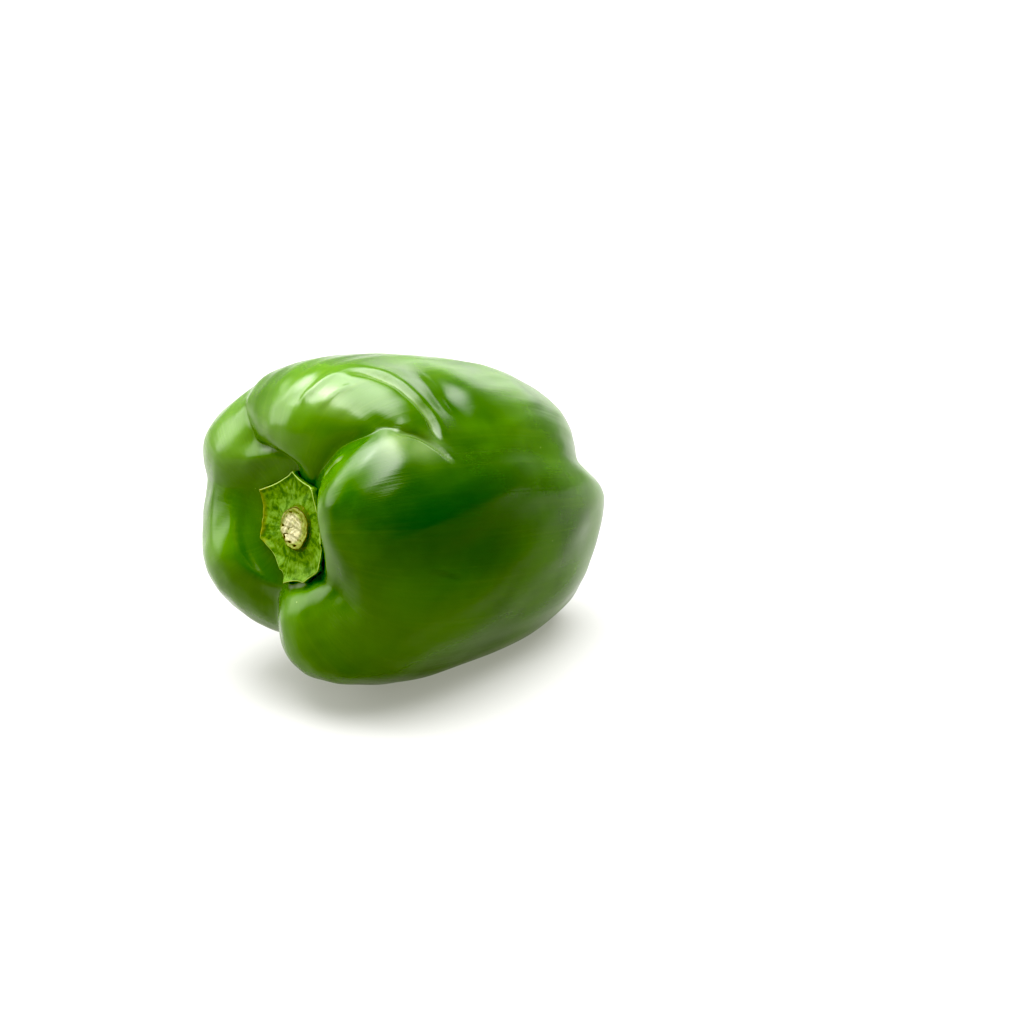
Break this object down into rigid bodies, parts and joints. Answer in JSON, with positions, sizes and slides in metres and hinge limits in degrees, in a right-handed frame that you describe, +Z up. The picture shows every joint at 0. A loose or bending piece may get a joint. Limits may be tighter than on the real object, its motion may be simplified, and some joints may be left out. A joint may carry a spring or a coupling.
{
  "type": "bell pepper",
  "caption": "Green bell pepper lying on its side: a blocky lobed fruit with deep furrows at its shoulders, a cornered cap of green calyx in the stem hollow and a short cut stem.",
  "frame": {"origin": "on the surface that the pepper rests on, under the middle of its box", "axes": "+Z up; the blossom end points to +X and the stem end to -X, so X is the longest extent"},
  "size_m": [0.1136, 0.0805, 0.087],
  "materials": {
    "skin": "waxy glossy green skin with fine lengthwise streaks and pale specks",
    "calyx": "satin leaf green with darker mottling and a thin yellow-green edge",
    "stem": "dry pale yellow-green cut face with tan fibres and a brown rim"
  },
  "bodies": {
    "root": {"fruit": "skin", "calyx": "calyx", "stem": "stem"}
  },
  "joints": []
}
